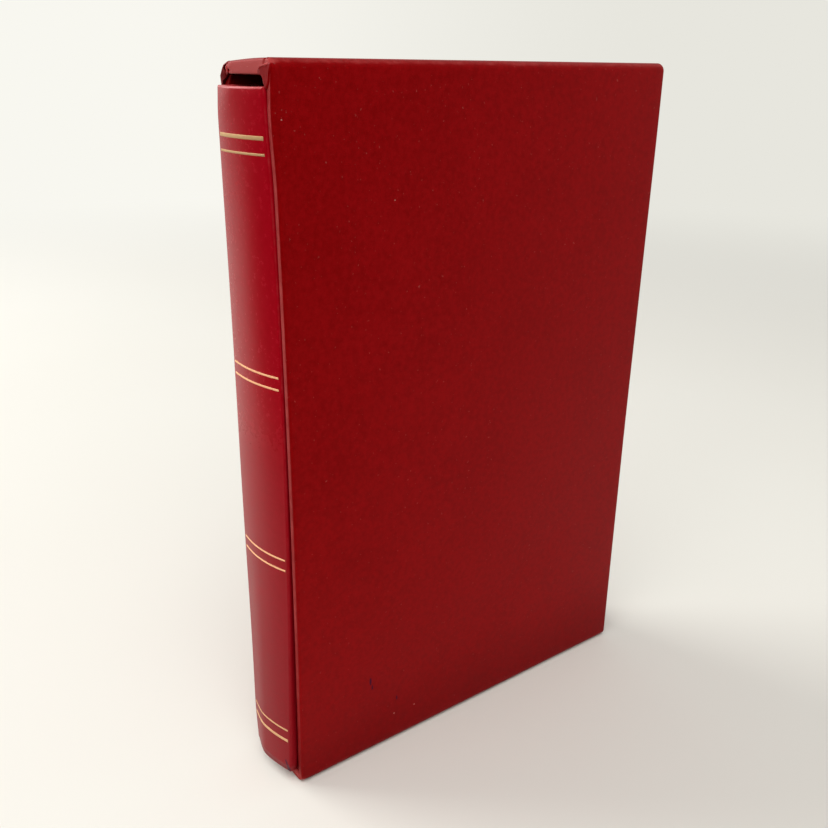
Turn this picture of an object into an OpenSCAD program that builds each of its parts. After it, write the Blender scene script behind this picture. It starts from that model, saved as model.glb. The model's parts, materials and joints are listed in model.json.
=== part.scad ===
// Stamp album (stock book) in its slipcase, both covered in red leatherette.
// The case's open mouth and the album's rounded spine face -Y, the thickness
// runs along X, and the case stands upright with Z up.  The origin is the
// centre of the footprint.

/* [Slipcase] */
// Outside height of the case
case_h = 260; // [180:1:330]
// Outside depth of the case, from its mouth to its back
case_d = 168.5; // [120:0.5:260]
// Clearance between the album and each side wall, at the mouth
side_gap = 0.4; // [0.3:0.05:1]
// Greyboard of the case
case_board_t = 2.0; // [1.2:0.1:3]
// Leatherette covering, on the case and on the album
cover_t = 0.4; // [0.3:0.05:0.8]
// Lining paper inside the case
lining_t = 0.3; // [0.15:0.05:0.5]
// How far the covering is turned in round the mouth
mouth_turn_in = 14; // [8:1:25]
// Rounding of the long outer edges
edge_r = 3.0; // [1.5:0.1:5]
// Rounding of the head's and tail's front edges
mouth_edge_r = 0.9; // [0.6:0.1:1.4]
// Outward bow of the side walls, at mid-height of the mouth
wall_bow = 2.2; // [0.5:0.1:4]

/* [Album cover] */
// Air left above the album in the case
head_gap = 3.0; // [1:0.1:6]
// Running clearance under the album
slide_gap = 0.3; // [0.2:0.05:0.8]
// Air left behind the album's fore edge
back_gap = 0.7; // [0.3:0.1:3]
// How far the spine's crown stands proud of the mouth
spine_proud = 5.0; // [2:0.1:12]
// Radius of the rounded spine
spine_r = 45; // [20:0.5:90]
// How far the spine's crown is cocked towards the back cover
crown_shift = 3.4; // [0:0.1:5]
// Radius of the bend from the spine to the covers
spine_corner_r = 1.2; // [0.8:0.1:3]
// Greyboard of the covers
album_board_t = 2.5; // [1.5:0.1:3.5]
// Card that stiffens the spine
spine_card_t = 1.0; // [0.6:0.1:1.5]
// Width of the hinge groove between spine and cover
groove_w = 6.5; // [4:0.1:10]
// Depth of the hinge groove
groove_depth = 1.2; // [0.6:0.1:1.8]
// Distance from the mouth in to the middle of the groove
groove_offset = 4.1; // [2:0.1:9]
// How far the covering is turned in round the covers' edges
cover_turn_in = 15; // [8:1:25]
// Rounding of the covers' outside edges
cover_edge_r = 0.9; // [0.6:0.1:1.4]

/* [Gold rules] */
// Width of the thick rules near head and tail
thick_rule_w = 1.2; // [0.6:0.1:2.5]
// Width of the thin rules
thin_rule_w = 0.7; // [0.3:0.05:1.5]
// Thickness of the foil
foil_t = 0.05; // [0.03:0.01:0.1]
// Distance from head or tail to the thick rule
thick_rule_z = 14.3; // [6:0.1:30]
// Distance from the thick rule to its thin companion
outer_pair_gap = 4.7; // [2:0.1:10]
// Distance from head or tail to the middle pair
inner_pair_z = 88.0; // [45:0.5:110]
// Distance between the two rules of a middle pair
inner_pair_gap = 4.1; // [2:0.1:10]
// Bare margin between a rule's end and the spine's edge
rule_margin = 0.5; // [0.3:0.1:4]

/* [Leaves] */
// Number of stock leaves
leaf_count = 16; // [6:1:16]
// Room that one leaf takes up with its strips and interleaf
leaf_pitch = 1.15; // [1.0:0.05:1.6]
// Card of a leaf
leaf_t = 0.6; // [0.35:0.05:0.6]
// How far the covers overhang the leaves
square_w = 3.5; // [2:0.1:6]
// Endpaper
endpaper_t = 0.3; // [0.15:0.05:0.4]
// Clear film of a stamp strip
film_t = 0.08; // [0.05:0.01:0.1]
// Height of a stamp strip
strip_h = 23.5; // [16:0.5:23.5]
// Step from one strip to the next
strip_pitch = 25.5; // [24:0.5:45]
// Bare margin beside the strips
strip_margin = 6; // [3:0.5:15]
// Glassine interleaf
glassine_t = 0.06; // [0.04:0.01:0.08]
// Linen guard that hinges a leaf
guard_t = 0.15; // [0.1:0.05:0.2]
// How far a guard laps onto its leaf
guard_lap = 6; // [3:0.5:12]
// Cloth lining over the back of the book block
spine_cloth_t = 0.4; // [0.2:0.05:0.6]
// How far the lining cloth laps onto each cover board
cloth_lap = 5; // [2:0.5:12]
// Margin left bare round the endpapers
endpaper_margin = 2.5; // [1:0.1:6]
// Clear depth of the hollow back, behind the spine's crown
hollow_back = 4.7; // [3:0.1:8]

/* [Hidden] */
$fn = 96;
eps = 0.01;
crown_steps = 16;                                 // facets of half the spine's arc
bend_steps = 8;                                   // facets of a bend
groove_steps = 12;                                // facets of a hinge groove

// thickness of the closed album over its two covers
cover_stack = cover_t + album_board_t + cover_t + endpaper_t;
album_t = 2 * cover_stack + leaf_count * leaf_pitch;

// slipcase
side_wall_t = cover_t + case_board_t + cover_t;   // at the mouth, with the turn-in
lined_wall_t = cover_t + case_board_t + lining_t; // behind the turn-in
case_w = album_t + 2 * side_gap + 2 * side_wall_t;
flaps_t = 2 * case_board_t;                       // head and tail flaps lie double
floor_z = cover_t + flaps_t + cover_t;            // top of the turned-in floor
total_d = case_d + spine_proud + foil_t;
crown_y = foil_t - total_d / 2;
mouth_y = crown_y + spine_proud;
back_y = total_d / 2;
bow_half_h = case_h / 2 - edge_r - 2;             // the bow dies out at the flaps
bow_r = (bow_half_h * bow_half_h + wall_bow * wall_bow) / (2 * wall_bow);
bow_len = case_d - edge_r;

// album
album_z = floor_z + slide_gap;
album_h = case_h - floor_z - head_gap - album_z;
half_t = album_t / 2;
fore_y = back_y - lined_wall_t - back_gap;
arc_y = crown_y + spine_r;                        // centre of the spine's arc
groove_y = mouth_y + groove_offset;
groove_r = (pow(groove_w / 2, 2) + pow(groove_depth, 2)) / (2 * groove_depth);
groove_x = half_t - groove_depth + groove_r;
board_y = groove_y + groove_w / 2;                // spine edge of the cover boards
board_x = half_t - cover_t - album_board_t;       // inner face of a cover board
turn_in_x = board_x - cover_t;
block_x = turn_in_x - endpaper_t;                 // half of the room for the leaves
block_y = crown_y + cover_t + spine_card_t + hollow_back;
leaf_y = block_y + spine_cloth_t + 1;
leaf_d = fore_y - cover_t - square_w - leaf_y;
leaf_z = album_z + square_w;
leaf_h = album_h - 2 * square_w;
strip_rows = floor((leaf_h - strip_margin) / strip_pitch);
strip_z0 = (leaf_h - (strip_rows - 1) * strip_pitch - strip_h) / 2;
rule_x = half_t - rule_margin;

function two(k) = str(k < 10 ? "0" : "", k);
function leaf_name(k) = str("leaf_", two(k));
function strips_name(k) = str("strips_", two(k));
function leaf_x(k) = -block_x + (k - 0.5) * leaf_pitch;

red = [0.48, 0.03, 0.05];
spine_red = [0.56, 0.03, 0.09];
grey = [0.55, 0.53, 0.49];
lining_colour = [0.16, 0.03, 0.04];
gold = [0.87, 0.68, 0.38];
paper = [0.93, 0.91, 0.86];
black_card = [0.06, 0.06, 0.06];
film = [0.85, 0.9, 0.92, 0.4];
linen = [0.12, 0.12, 0.12];

// ---- shared shapes ---------------------------------------------------------

// A box between two corners
module span(low, high) {
    translate(low) cube(high - low);
}

// A rectangle whose corners have their own radii, anticlockwise from the low one
module plate(low, high, radii) {
    corners = [low, [high[0], low[1]], high, [low[0], high[1]]];
    difference() {
        translate(low) square(high - low);
        for (c = [0:3]) if (radii[c] > 0) corner_cut(corners[c], radii[c], 90 * c);
    }
}

// What a fillet takes away at a corner whose inside lies towards +X +Y when turn is 0
module corner_cut(at, r, turn) {
    translate(at) rotate(turn) difference() {
        translate([-1, -1]) square(r + 1);
        translate([r, r]) circle(r);
    }
}

// Extrudes an outline in the X-Z plane along Y, from y0 to y1
module along_y(y0, y1) {
    translate([0, y1, 0]) rotate([90, 0, 0]) linear_extrude(y1 - y0) children();
}

// Extrudes an outline drawn as (Y, Z) along X, centred, w wide
module along_x(w) {
    translate([-w / 2, 0, 0]) rotate([90, 0, 90]) linear_extrude(w) children();
}

module both_sides() {
    children();
    mirror([1, 0, 0]) children();
}

// ---- slipcase --------------------------------------------------------------

// The closed block of the case, without its bow, set in by i on every face
module case_block(i) {
    half = case_w / 2 - i;
    r = edge_r - i;
    r_mouth = mouth_edge_r - i;
    intersection() {
        linear_extrude(case_h)
            plate([-half, mouth_y + i], [half, back_y - i], [0, 0, r, r]);
        along_y(mouth_y, back_y)
            plate([-half, i], [half, case_h - i], [r, r, r, r]);
        along_x(case_w)
            plate([mouth_y + i, i], [back_y - i, case_h - i], [r_mouth, r, r, r_mouth]);
    }
}

// The bow of a side wall, standing on the plane x = face and fading out towards
// the back: a wide cylinder that leans into the wall
module bow(face, y0 = mouth_y, y1 = back_y) {
    lean = atan(wall_bow / bow_len);
    intersection() {
        span([face, y0, edge_r], [face + wall_bow + 1, y1, case_h - edge_r]);
        translate([face + wall_bow, mouth_y, case_h / 2])
            rotate(lean)
                translate([-bow_r, -20, 0])
                    rotate([-90, 0, 0]) cylinder(r = bow_r, h = case_d + 40, $fn = 1440);
    }
}

// One layer of the right side wall, from depth a to depth b under its outer face
module wall_layer(a, b, y0, y1, z0, z1) {
    face = case_w / 2;
    difference() {
        union() {
            span([face - b, y0, z0], [face - a, y1, z1]);
            bow(face - a, y0, y1);
        }
        bow(face - b, y0 - 1, y1 + 1);
    }
}

module case_right_board() {
    color(grey) intersection_with_block()
        wall_layer(cover_t, cover_t + case_board_t,
                   mouth_y + cover_t, back_y - cover_t, cover_t, case_h - cover_t);
}

module case_left_board() {
    mirror([1, 0, 0]) case_right_board();
}

// Keeps what lies inside the covering, with the bow left on
module intersection_with_block() {
    intersection() {
        children();
        union() {
            case_block(cover_t);
            both_sides() span([case_w / 4, mouth_y + cover_t, edge_r],
                              [case_w / 2 + wall_bow + 1, back_y - edge_r, case_h - edge_r]);
        }
    }
}

module case_back_board() {
    color(grey) intersection() {
        span([-case_w / 2 + cover_t + case_board_t, back_y - cover_t - case_board_t,
              cover_t + flaps_t],
             [case_w / 2 - cover_t - case_board_t, back_y - cover_t,
              case_h - cover_t - flaps_t]);
        case_block(cover_t);
    }
}

// A flap between the side boards, its lower face at z
module flap(z) {
    half = case_w / 2 - cover_t - case_board_t;
    color(grey) intersection() {
        span([-half, mouth_y + cover_t, z], [half, back_y - cover_t, z + case_board_t]);
        case_block(cover_t);
    }
}

module case_tail_outer_flap() flap(cover_t);
module case_tail_inner_flap() flap(cover_t + case_board_t);
module case_head_inner_flap() flap(case_h - cover_t - flaps_t);
module case_head_outer_flap() flap(case_h - cover_t - case_board_t);

// The flat field of the head, which the head's own sheet covers
module head_field(z0, z1) {
    half = case_w / 2 - edge_r;
    span([-half, mouth_y - 1, z0], [half, back_y - edge_r, z1]);
}

// The sheet over the head, folded round the front edge of the flaps and turned in
module case_head_covering() {
    half = case_w / 2 - side_wall_t;
    ceiling_z = case_h - floor_z;
    color(red) intersection() {
        case_block(0);
        union() {
            head_field(case_h - cover_t, case_h);
            span([-half, mouth_y, ceiling_z], [half, mouth_y + cover_t, case_h]);
            span([-half, mouth_y, ceiling_z],
                 [half, mouth_y + mouth_turn_in, ceiling_z + cover_t]);
        }
    }
}

module case_tail_covering() {
    translate([0, 0, case_h]) mirror([0, 0, 1]) case_head_covering();
}

// The part of a side wall that bows, from its outer face to its turned-in covering
module bowed_field() {
    span([case_w / 2 - side_wall_t - eps, mouth_y - 1, edge_r],
         [case_w / 2 + 1, back_y - edge_r, case_h - edge_r]);
}

// One sheet of leatherette round both sides and the back, folded in at the mouth
module case_side_covering() {
    z1 = case_h - edge_r;
    color(red) union() {
        difference() {
            case_block(0);
            case_block(cover_t);
            span([-case_w / 2 + side_wall_t, mouth_y - 1, -1],
                 [case_w / 2 - side_wall_t, mouth_y + cover_t + eps, case_h + 1]);
            both_sides() bowed_field();
            head_field(-1, cover_t + eps);
            head_field(case_h - cover_t - eps, case_h + 1);
        }
        both_sides() {
            wall_layer(0, cover_t, mouth_y, back_y - edge_r, edge_r, z1);
            wall_layer(cover_t, side_wall_t, mouth_y, mouth_y + cover_t, edge_r, z1);
            wall_layer(cover_t + case_board_t, side_wall_t,
                       mouth_y, mouth_y + mouth_turn_in, floor_z, case_h - floor_z);
        }
    }
}

// Lining paper on both side walls and the back, from one turn-in to the other
module case_side_lining() {
    y_in = back_y - cover_t - case_board_t;
    z0 = cover_t + flaps_t;
    color(lining_colour) union() {
        both_sides() wall_layer(cover_t + case_board_t, lined_wall_t,
                                mouth_y + mouth_turn_in, y_in, z0, case_h - z0);
        span([-case_w / 2 + lined_wall_t - eps, y_in - lining_t, z0],
             [case_w / 2 - lined_wall_t + eps, y_in, case_h - z0]);
    }
}

module case_tail_lining() {
    z0 = cover_t + flaps_t;
    half = case_w / 2 - lined_wall_t;
    color(lining_colour)
        span([-half, mouth_y + mouth_turn_in, z0],
             [half, back_y - lined_wall_t, z0 + lining_t]);
}

module case_head_lining() {
    translate([0, 0, case_h]) mirror([0, 0, 1]) case_tail_lining();
}

// ---- album cover -----------------------------------------------------------

function arc(centre, r, a0, a1, steps) =
    [for (k = [0:steps]) centre + r * [cos(a0 + (a1 - a0) * k / steps),
                                       sin(a0 + (a1 - a0) * k / steps)]];

// Outline of one half of the album from the spine's middle to the fore edge, set in
// by i, with the arc's centre c off the middle: half the spine, bend and hinge groove
function half_outline(i, c) =
    let (half = half_t - i,
         r = max(spine_corner_r - i, 0.2),
         x = half - r,
         y = arc_y - sqrt(pow(spine_r - i - r, 2) - pow(x - c, 2)),
         middle_a = 360 - acos(-c / (spine_r - i)),
         bend_a = 360 + atan2(y - arc_y, x - c),
         gr = groove_r + i,
         groove_a = acos((groove_x - half) / gr))
    concat(arc([c, arc_y], spine_r - i, middle_a, bend_a, crown_steps),
           [for (k = [1:bend_steps]) arc([x, y], r, bend_a, 360, bend_steps)[k]],
           arc([groove_x, groove_y], gr, 180 + groove_a, 180 - groove_a, groove_steps),
           [[half, fore_y - i]]);

// Cross-section of the closed album's outside, set in by i
module album_section(i) {
    right = half_outline(i, -crown_shift);
    mirrored = half_outline(i, crown_shift);
    left = [for (k = [len(mirrored) - 1:-1:1]) [-mirrored[k][0], mirrored[k][1]]];
    polygon(concat(right, left));
}

// The closed album as a solid prism, set in by i on its sides and by j at head and tail
module album_prism(i, j) {
    translate([0, 0, album_z + j]) linear_extrude(album_h - 2 * j) album_section(i);
}

// The closed album as a solid block, set in by i all round, with its edges rounded
module album_block(i) {
    r = cover_edge_r - i;
    half = half_t - i;
    intersection() {
        album_prism(i, i);
        along_y(crown_y - 1, fore_y)
            plate([-half, album_z + i], [half, album_z + album_h - i], [r, r, r, r]);
        linear_extrude(case_h)
            plate([-half, crown_y - 1], [half, fore_y - i], [0, 0, r, r]);
    }
}

// Everything on the +X side between two depths, x0 to x1
module cover_slab(x0, x1, y0 = board_y) {
    span([x0, y0, album_z - 1], [x1, fore_y + 1, album_z + album_h + 1]);
}

// Everything on the spine's side of the cover boards
module spine_side(y1 = board_y) {
    span([-half_t - 1, crown_y - 1, album_z - 1], [half_t + 1, y1, album_z + album_h + 1]);
}

module front_cover_board() {
    color(grey) intersection() {
        album_block(cover_t);
        cover_slab(board_x, half_t);
    }
}

module back_cover_board() {
    mirror([1, 0, 0]) front_cover_board();
}

// The curved card that stiffens the spine, from bend to bend
module spine_card() {
    color(grey) intersection() {
        difference() {
            album_prism(cover_t, cover_t);
            album_prism(cover_t + spine_card_t, 0);
        }
        spine_side(mouth_y);
    }
}

// The covering over one cover board, turned in at head, tail and fore edge
module board_jacket() {
    margin = cover_turn_in;
    difference() {
        intersection() {
            album_block(0);
            cover_slab(turn_in_x, half_t);
        }
        intersection() {
            album_block(cover_t);
            cover_slab(board_x, half_t, board_y - 1);
        }
        span([turn_in_x - 1, board_y - 1, album_z + margin],
             [board_x + eps, fore_y - margin, album_z + album_h - margin]);
    }
}

// The covering over the spine and both hinges, folded over the card's two ends
module spine_skin() {
    card_inside = cover_t + spine_card_t;
    intersection() {
        union() {
            difference() {
                album_block(0);
                album_block(cover_t);
                album_prism(card_inside, -1);
            }
            for (z = [album_z, album_z + album_h - cover_turn_in]) intersection() {
                difference() {
                    album_prism(card_inside, 0);
                    album_prism(card_inside + cover_t, -1);
                }
                span([-half_t, crown_y, z], [half_t, board_y, z + cover_turn_in]);
            }
        }
        spine_side();
    }
}

module album_covering() {
    color(spine_red) union() {
        both_sides() board_jacket();
        spine_skin();
    }
}

// Thick rule and thin companion near one end of the spine, and a thin pair further in
module rules_from_tail() {
    rule(thick_rule_z, thick_rule_w);
    rule(thick_rule_z + outer_pair_gap, thin_rule_w);
    rule(inner_pair_z, thin_rule_w);
    rule(inner_pair_z + inner_pair_gap, thin_rule_w);
}

// One rule of foil across the spine, w wide, its middle at z above the tail
module rule(z, w) {
    translate([0, 0, album_z + z - w / 2]) linear_extrude(w) intersection() {
        difference() {
            album_section(-foil_t);
            album_section(0);
        }
        translate([-rule_x, crown_y - 1]) square([2 * rule_x, mouth_y - crown_y + 1]);
    }
}

module gold_rules() {
    color(gold) {
        rules_from_tail();
        translate([0, 0, 2 * album_z + album_h]) mirror([0, 0, 1]) rules_from_tail();
    }
}

// ---- book block ------------------------------------------------------------

// The pasted-down endpaper, with the infill between the turned-in edges
module front_endpaper() {
    y0 = board_y + cloth_lap;
    y1 = fore_y - cover_t - endpaper_margin;
    z0 = album_z + endpaper_margin;
    z1 = album_z + album_h - endpaper_margin;
    color(paper) union() {
        span([block_x, y0, z0], [turn_in_x, y1, z1]);
        span([turn_in_x, y0, album_z + cover_turn_in],
             [board_x, fore_y - cover_turn_in, album_z + album_h - cover_turn_in]);
    }
}

module back_endpaper() {
    mirror([1, 0, 0]) front_endpaper();
}

// The cloth over the back of the leaves, its two flanges pasted to the covers
module spine_cloth() {
    z1 = leaf_z + leaf_h;
    color(linen) union() {
        span([-block_x, block_y, leaf_z], [block_x, block_y + spine_cloth_t, z1]);
        both_sides() span([block_x, block_y, leaf_z], [turn_in_x, board_y + cloth_lap, z1]);
    }
}

// A linen guard along the back of each leaf, by which it turns
module leaf_guards() {
    color(linen) for (k = [1:leaf_count])
        span([leaf_x(k) + leaf_t / 2, block_y + spine_cloth_t, leaf_z],
             [leaf_x(k) + leaf_t / 2 + guard_t, leaf_y + guard_lap, leaf_z + leaf_h]);
}

// One stock leaf of black card
module leaf(k) {
    color(black_card) translate([leaf_x(k) - leaf_t / 2, leaf_y, leaf_z])
        cube([leaf_t, leaf_d, leaf_h]);
}

// The clear strips on both pages of one leaf
module leaf_strips(k) {
    y0 = leaf_y + guard_lap + strip_margin;
    y1 = leaf_y + leaf_d - strip_margin;
    color(film) for (x = [leaf_x(k) - leaf_t / 2 - film_t, leaf_x(k) + leaf_t / 2])
        for (row = [0:strip_rows - 1])
            translate([x, y0, leaf_z + strip_z0 + row * strip_pitch])
                cube([film_t, y1 - y0, strip_h]);
}

// The loose glassine sheets between facing pages
module glassine_interleaves() {
    color(film) for (k = [1:leaf_count - 1])
        translate([leaf_x(k) + leaf_pitch / 2 - glassine_t / 2,
                   block_y + spine_cloth_t, leaf_z + 1])
            cube([glassine_t, leaf_d + leaf_y - block_y - spine_cloth_t - 2, leaf_h - 2]);
}

case_left_board();
case_right_board();
case_back_board();
case_head_outer_flap();
case_head_inner_flap();
case_tail_outer_flap();
case_tail_inner_flap();
case_side_covering();
case_head_covering();
case_tail_covering();
case_side_lining();
case_head_lining();
case_tail_lining();
front_cover_board();
back_cover_board();
spine_card();
album_covering();
gold_rules();
front_endpaper();
back_endpaper();
spine_cloth();
leaf_guards();
glassine_interleaves();
for (k = [1:leaf_count]) leaf(k);
for (k = [1:leaf_count]) leaf_strips(k);
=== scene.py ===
"""Looks of a stamp album in its slipcase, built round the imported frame.

Shapes are worked out in millimetres, with Z up, the mouth and the spine towards -Y and the
front cover towards +X, and become metres when a mesh is made.
"""
import json
import math

import bpy
import numpy as np
from mathutils import Matrix, Vector


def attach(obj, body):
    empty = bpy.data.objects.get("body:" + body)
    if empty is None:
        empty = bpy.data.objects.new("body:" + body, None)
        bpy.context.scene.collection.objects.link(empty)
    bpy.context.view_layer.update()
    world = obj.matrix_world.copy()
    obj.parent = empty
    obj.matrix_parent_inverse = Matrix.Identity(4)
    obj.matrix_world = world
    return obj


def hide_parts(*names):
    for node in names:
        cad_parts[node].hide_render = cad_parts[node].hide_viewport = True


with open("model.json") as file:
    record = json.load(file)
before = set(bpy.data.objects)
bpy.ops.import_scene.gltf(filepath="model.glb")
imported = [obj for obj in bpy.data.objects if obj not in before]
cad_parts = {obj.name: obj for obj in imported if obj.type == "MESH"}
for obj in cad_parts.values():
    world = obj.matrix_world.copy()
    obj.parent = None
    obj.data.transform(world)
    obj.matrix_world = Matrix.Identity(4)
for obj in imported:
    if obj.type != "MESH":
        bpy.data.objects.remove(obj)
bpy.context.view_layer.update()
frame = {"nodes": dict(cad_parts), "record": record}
scene = bpy.context.scene
MM = 0.001

# ---- sizes of the part, in millimetres --------------------------------------

# the slipcase: half its thickness, its height, its front and back faces, its walls' thickness
CASE_HALF, CASE_H = 16.0, 260.0
MOUTH_Y, BACK_Y = -81.725, 86.775
SIDE_WALL, HEAD_WALL = 2.8, 4.8
BOARD, COVERING = 2.0, 0.4
EDGE_R, BACK_R = 3.0, 1.5
# the side walls' bow at the mouth, the radius of its circle and how far back it reaches
BOW, BOW_R, BOW_LENGTH = 2.2, 3552.4, 165.5
TURN_IN = 14.0
# the album: half its thickness, its foot and head, its fore edge and its spine's crown
ALBUM_HALF = 12.8
ALBUM_Z0, ALBUM_Z1 = 5.1, 252.2
FORE_Y, FORE_R = 83.375, 0.9
CROWN_Y, CROWN_SHIFT = -86.675, 3.4
SPINE_R, BEND_R = 45.0, 1.2
GROOVE_Y, GROOVE_W, GROOVE_DEPTH = -77.625, 6.5, 1.2
# thickness of the cover over its board, at the spine and at the hinge
COVER_T, SPINE_T, HINGE_T = 3.3, 1.8, 0.85
# how deep the spine's card lies, from its outside to its inside
CARD_DEPTHS = (0.45, 1.3)
# the rules' reach to the near and the far side; height from the spine's end and width of each
RULE_HALF, RULE_FAR = 12.0, 11.2
RULES = ((14.3, 1.2), (19.0, 0.7), (88.0, 0.7), (92.1, 0.7))

# ---- small numeric helpers --------------------------------------------------


def smooth(t):
    """Rises from 0 to 1 with level ends while t goes from 0 to 1: 3t^2 - 2t^3."""
    t = np.clip(t, 0.0, 1.0)
    return t * t * (3.0 - 2.0 * t)


def bell(t):
    """A hump of height 1 that falls off either side of t = 0: e^(-t^2)."""
    return np.exp(-t * t)


def ripple(seed, *coordinates, wavelengths=(60.0, 140.0), count=5):
    """A gentle uneven field between about -1 and 1: a sum of sines in random directions."""
    draw = np.random.default_rng(seed)
    total = 0.0
    for _ in range(count):
        way = draw.normal(size=len(coordinates))
        way *= 2.0 * math.pi / (np.linalg.norm(way) * draw.uniform(*wavelengths))
        phase = draw.uniform(0.0, 2.0 * math.pi)
        total = total + np.sin(sum(w * c for w, c in zip(way, coordinates)) + phase)
    return total / count * 1.4


def make_piece(name, points, faces, body, slot, material, stands_for=(), **shares):
    """Makes a mesh from points in millimetres (rows of x, y, z) and lets it ride on a body.

    shares are numbers kept with each point: how much of an edge it is, how much it is darkened
    (painted shade for the most part), or how dull its gilt is painted."""
    mesh = bpy.data.meshes.new(name)
    mesh.from_pydata((np.asarray(points, dtype=float) * MM).tolist(), [], faces)
    mesh.validate()
    mesh.shade_smooth()
    for label, values in shares.items():
        attribute = mesh.attributes.new(label, "FLOAT", "POINT")
        attribute.data.foreach_set("value", np.asarray(values, dtype=np.float32).ravel())
    mesh.materials.append(material)
    piece = bpy.data.objects.new(name, mesh)
    scene.collection.objects.link(piece)
    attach(piece, body)
    if stands_for:
        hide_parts(*stands_for)
    return piece


def grid_faces(rows, columns, close=False, keep=None):
    """Quads of a grid of points stored row by row; close joins the last column to the first.

    keep is an optional array of True and False with one value for each quad."""
    wide = columns if close else columns - 1
    k, n = np.meshgrid(np.arange(rows - 1), np.arange(wide), indexing="ij")
    following = (n + 1) % columns
    quads = np.stack([k * columns + n, k * columns + following,
                      (k + 1) * columns + following, (k + 1) * columns + n], axis=-1)
    if keep is not None:
        return quads[keep].tolist()
    return quads.reshape(-1, 4).tolist()


def used_only(points, faces, *values):
    """Drops the points that no face uses, and renumbers the faces."""
    used = np.unique(faces)
    return (points[used], np.searchsorted(used, faces).tolist(),
            *[v.ravel()[used] for v in values])


def capped_faces(rows, columns):
    """Faces of a tube whose closed outlines are stored row by row, with a cap at either end."""
    faces = grid_faces(rows, columns, close=True)
    faces.append(list(range(columns - 1, -1, -1)))
    faces.append(list(range((rows - 1) * columns, rows * columns)))
    return faces


def swept_piece(name, surface, body, slot, material, stands_for=(), **shares):
    """A closed piece from rows of closed outlines, (rows, columns, 3), capped at both ends."""
    make_piece(name, surface.reshape(-1, 3), capped_faces(*surface.shape[:2]), body, slot,
               material, stands_for, **shares)


# ---- node helpers -----------------------------------------------------------


def feed(sockets, values):
    """Gives each named socket its value, or links the socket that feeds it."""
    for key, value in values.items():
        if isinstance(value, bpy.types.NodeSocket):
            value.id_data.links.new(value, sockets[key])
        else:
            sockets[key].default_value = value


def add(tree, kind, inputs=None, **settings):
    """Adds a shader node. inputs maps a socket to a value, or to the socket that feeds it."""
    made = tree.nodes.new("ShaderNode" + kind)
    for key, value in settings.items():
        setattr(made, key, value)
    feed(made.inputs, inputs or {})
    return made


def step(kind, inputs, **settings):
    """Adds a shader node to the tree of the first socket that feeds it; gives its outputs."""
    tree = next(v.id_data for v in inputs.values() if isinstance(v, bpy.types.NodeSocket))
    return add(tree, kind, inputs, **settings).outputs


def maths(operation, *values):
    """One step of arithmetic on numbers or sockets."""
    return step("Math", dict(enumerate(values)), operation=operation)[0]


def vectors(operation, *values, **named):
    """One step of arithmetic on vectors or sockets; gives the step's Vector and Value."""
    return step("VectorMath", {**dict(enumerate(values)), **named}, operation=operation)


def blend_colour(factor, first, second):
    """first where factor is 0, second where it is 1."""
    return step("Mix", {0: factor, 6: first, 7: second}, data_type="RGBA")[2]


def ramp(value, low, high, to_low=0.0, to_high=1.0):
    """Maps low..high smoothly to to_low..to_high."""
    return step("MapRange", {"Value": value, "From Min": low, "From Max": high,
                             "To Min": to_low, "To Max": to_high},
                interpolation_type="SMOOTHSTEP")["Result"]


def noise(position, scale, detail=2.0, roughness=0.5, distortion=0.0):
    """Smooth uneven values between 0 and 1, about scale of them to a metre."""
    return step("TexNoise", {"Vector": position, "Scale": scale, "Detail": detail,
                             "Roughness": roughness, "Distortion": distortion})["Fac"]


def kept_share(shader, label):
    """The number that a mesh keeps with each of its points under this name, or else 0."""
    return add(shader.id_data, "Attribute", attribute_name=label).outputs["Fac"]


def stretched(position, scale):
    """The position with each axis multiplied, for fibres and brushed looks."""
    return step("Mapping", {"Vector": position, "Scale": scale})[0]


def new_group(name, inputs, outputs):
    """A shader node group with named sockets; gives its tree, its inputs and its outputs.

    inputs maps a name to a number, or to None for a vector; outputs are the numbers it gives."""
    tree = bpy.data.node_groups.new(name, "ShaderNodeTree")
    for label, default in inputs.items():
        kind = "NodeSocketVector" if default is None else "NodeSocketFloat"
        socket = tree.interface.new_socket(label, in_out="INPUT", socket_type=kind)
        if default is not None:
            socket.default_value = default
    for label in outputs:
        tree.interface.new_socket(label, in_out="OUTPUT", socket_type="NodeSocketFloat")
    return tree, tree.nodes.new("NodeGroupInput").outputs, tree.nodes.new("NodeGroupOutput").inputs


def use_group(group, **inputs):
    """Places a group in a material and returns its outputs."""
    return step("Group", inputs, node_tree=group)


# ---- shared effects ---------------------------------------------------------


def leather_grain_group():
    """Pebbled grain of leatherette: soft cells of uneven size, with fine pores over them.

    Tone is the mottling of the colour, and Dust marks the few grains rubbed pale."""
    tree, given, out = new_group("leather_grain", {"Position": None, "Cell": 0.5, "Crease": 0.4},
                                 ("Height", "Tone", "Dust"))
    position = given["Position"]
    per_metre = maths("DIVIDE", 1000.0, given["Cell"])
    wander = step("TexNoise", {"Vector": position, "Scale": 900.0})["Color"]
    wander = vectors("SCALE", wander, Scale=0.6 * MM)["Vector"]
    bent = vectors("ADD", position, wander)["Vector"]
    cells = step("TexVoronoi", {"Vector": bent, "Scale": per_metre})["Distance"]
    cells = maths("MULTIPLY", cells, cells)
    raised = maths("SUBTRACT", 1.0, maths("MULTIPLY", cells, given["Crease"]))
    pores = noise(position, maths("MULTIPLY", per_metre, 2.7), 3.0, 0.6)
    cloudy = noise(position, 38.0, 4.0, 0.62)
    fine = noise(position, 480.0, 4.0, 0.7)
    mottled = maths("MULTIPLY_ADD", fine, 0.9, maths("MULTIPLY", cloudy, 0.35))
    dust = noise(position, 900.0, 2.0, 0.5)
    feed(out, {"Height": maths("MULTIPLY_ADD", pores, 0.35, raised),
               "Tone": ramp(mottled, 0.375, 0.875),
               "Dust": ramp(dust, 0.69, 0.78)})
    return tree


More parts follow.
